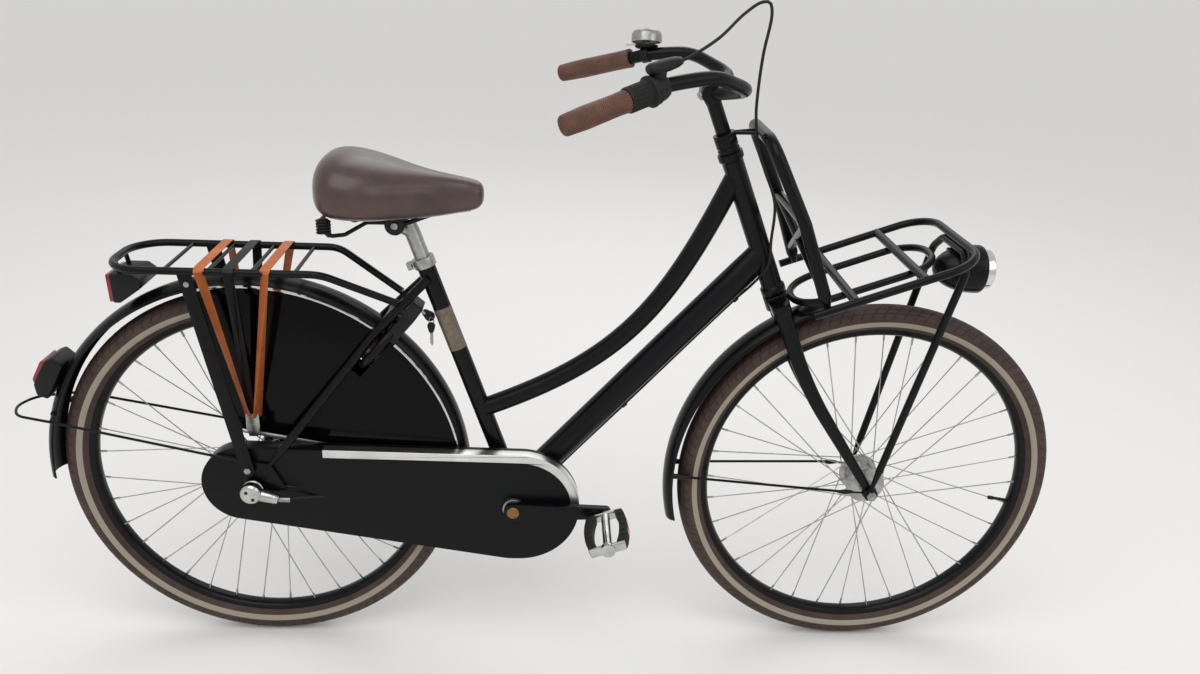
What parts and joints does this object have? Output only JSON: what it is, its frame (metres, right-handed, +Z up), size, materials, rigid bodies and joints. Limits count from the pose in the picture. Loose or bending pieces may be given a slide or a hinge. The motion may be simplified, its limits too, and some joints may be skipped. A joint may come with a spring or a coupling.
{
  "type": "city bicycle",
  "caption": "Dutch step-through city bicycle with a curved top tube, closed chain case, coat guards, rear carrier with straps, front carrier, ring lock and side stand.",
  "frame": {"origin": "centre of the bounding box's bottom, on the floor between the wheels", "axes": "+X forward, +Y to the rider's left, +Z up; the steering points straight ahead"},
  "size_m": [1.9236, 0.5736, 1.2293],
  "materials": {
    "alloy_silver": "cast and machined",
    "black_plastic": "moulded, fine grain",
    "black_rubber": "moulded matt",
    "bright_chrome": "bright chrome plate",
    "brown_grip": "moulded grip with diamond texture",
    "brown_tyre": "moulded rubber with block tread",
    "gloss_black_paint": "gloss enamel over steel",
    "orange_strap": "flat rubber band",
    "plated_steel": "zinc plated",
    "red_lens": "ribbed clear red lens",
    "saddle_vinyl": "grained cover, matt",
    "satin_black_paint": "satin powder coat"
  },
  "bodies": {
    "frame": {"head_tube": "gloss_black_paint", "seat_tube": "gloss_black_paint", "top_tube": "gloss_black_paint", "down_tube": "gloss_black_paint", "right_chain_stay": "gloss_black_paint", "left_chain_stay": "gloss_black_paint", "seat_stays": "gloss_black_paint", "seat_clamp": "alloy_silver", "rear_rack": "satin_black_paint", "right_rack_strut": "satin_black_paint", "left_rack_strut": "satin_black_paint", "rear_fender": "gloss_black_paint", "chain_case_cover": "gloss_black_paint", "chain_case_back": "gloss_black_paint", "chain": "plated_steel", "rear_axle": "plated_steel", "gear_shift_unit": "alloy_silver", "rear_light": "red_lens", "rack_reflector": "black_plastic", "right_coat_guard": "black_plastic", "left_coat_guard": "black_plastic", "carrier_straps": "orange_strap", "ring_lock": "satin_black_paint", "shift_cable_lower": "black_rubber"},
    "steering": {"fork_crown": "gloss_black_paint", "right_fork_blade": "gloss_black_paint", "left_fork_blade": "gloss_black_paint", "handlebar": "satin_black_paint", "stem": "satin_black_paint", "right_grip": "brown_grip", "left_grip": "brown_grip", "shifter_housing": "black_plastic", "shift_cable_upper": "black_rubber", "bell": "bright_chrome", "front_rack": "satin_black_paint", "front_rack_back": "satin_black_paint", "front_rack_stays": "satin_black_paint", "front_fender": "gloss_black_paint", "headlight_shell": "satin_black_paint", "headlight_bezel": "bright_chrome", "front_axle": "plated_steel"},
    "rear_wheel": {"rear_spoked_hub": "plated_steel", "rear_rim": "satin_black_paint", "rear_tyre": "brown_tyre"},
    "front_wheel": {"front_spoked_hub": "plated_steel", "front_rim": "satin_black_paint", "front_tyre": "brown_tyre"},
    "drive_sprocket": {"rear_sprocket": "plated_steel"},
    "cranks": {"right_crank": "satin_black_paint", "left_crank": "satin_black_paint"},
    "pedal_right": {"right_pedal": "black_rubber"},
    "pedal_left": {"left_pedal": "black_rubber"},
    "saddle": {"seatpost": "alloy_silver", "saddle_springs": "black_plastic", "saddle_cushion": "saddle_vinyl"},
    "gear_twist_ring": {"twist_ring": "black_rubber"},
    "bell_thumb": {"bell_lever": "bright_chrome"},
    "side_stand": {"kickstand": "satin_black_paint"},
    "lock_bar": {"lock_shackle": "plated_steel"},
    "key": {"lock_key": "black_plastic"}
  },
  "joints": [
    {"name": "steering", "type": "hinge", "parent": "frame", "child": "steering", "pos_m": [0.34483, 0, 0.852], "axis": [-0.3827, 0, 0.9239], "range_deg": [-45, 45]},
    {"name": "rear_wheel_spin", "type": "hinge", "parent": "frame", "child": "rear_wheel", "pos_m": [-0.53117, 0, 0.358], "axis": [0, 1, 0], "continuous": true},
    {"name": "front_wheel_spin", "type": "hinge", "parent": "steering", "child": "front_wheel", "pos_m": [0.60573, 0, 0.358], "axis": [0, 1, 0], "continuous": true},
    {"name": "crank_spin", "type": "hinge", "parent": "frame", "child": "cranks", "pos_m": [-0.06317, 0, 0.32], "axis": [0, 1, 0], "continuous": true},
    {"name": "sprocket_spin", "type": "hinge", "parent": "frame", "child": "drive_sprocket", "pos_m": [-0.53117, 0, 0.358], "axis": [0, 1, 0], "continuous": true},
    {"name": "right_pedal_spin", "type": "hinge", "parent": "cranks", "child": "pedal_right", "pos_m": [0.10683, 0, 0.32], "axis": [0, 1, 0], "continuous": true},
    {"name": "left_pedal_spin", "type": "hinge", "parent": "cranks", "child": "pedal_left", "pos_m": [-0.23317, 0, 0.32], "axis": [0, 1, 0], "continuous": true},
    {"name": "saddle_height", "type": "slide", "parent": "frame", "child": "saddle", "axis": [-0.3355, 0, 0.9421], "range_m": [-0.03, 0.1]},
    {"name": "gear_twist", "type": "hinge", "parent": "steering", "child": "gear_twist_ring", "pos_m": [0.01125, -0.272, 1.06599], "axis": [0.8326, 0.4827, 0.2716], "range_deg": [-60, 60]},
    {"name": "bell_thumb", "type": "hinge", "parent": "steering", "child": "bell_thumb", "pos_m": [0.14517, 0.1983, 1.1254], "axis": [0, 0.2425, 0.9701], "range_deg": [-30, 0], "stiffness_Nm_per_rad": 0.05},
    {"name": "stand_swing", "type": "hinge", "parent": "frame", "child": "side_stand", "pos_m": [-0.34117, 0.062, 0.315], "axis": [0.0019, -0.9549, -0.2968], "range_deg": [0, 94]},
    {"name": "lock_close", "type": "hinge", "parent": "frame", "child": "lock_bar", "pos_m": [-0.30757, 0, 0.62073], "axis": [-0.7615, 0, 0.6481], "range_deg": [0, 92]},
    {"name": "key_turn", "type": "hinge", "parent": "frame", "child": "key", "pos_m": [-0.23273, 0, 0.68244], "axis": [-0.7615, 0, 0.6481], "range_deg": [0, 90]}
  ],
  "couplings": [
    {"joint": "sprocket_spin", "follows": "crank_spin", "ratio": 2}
  ]
}
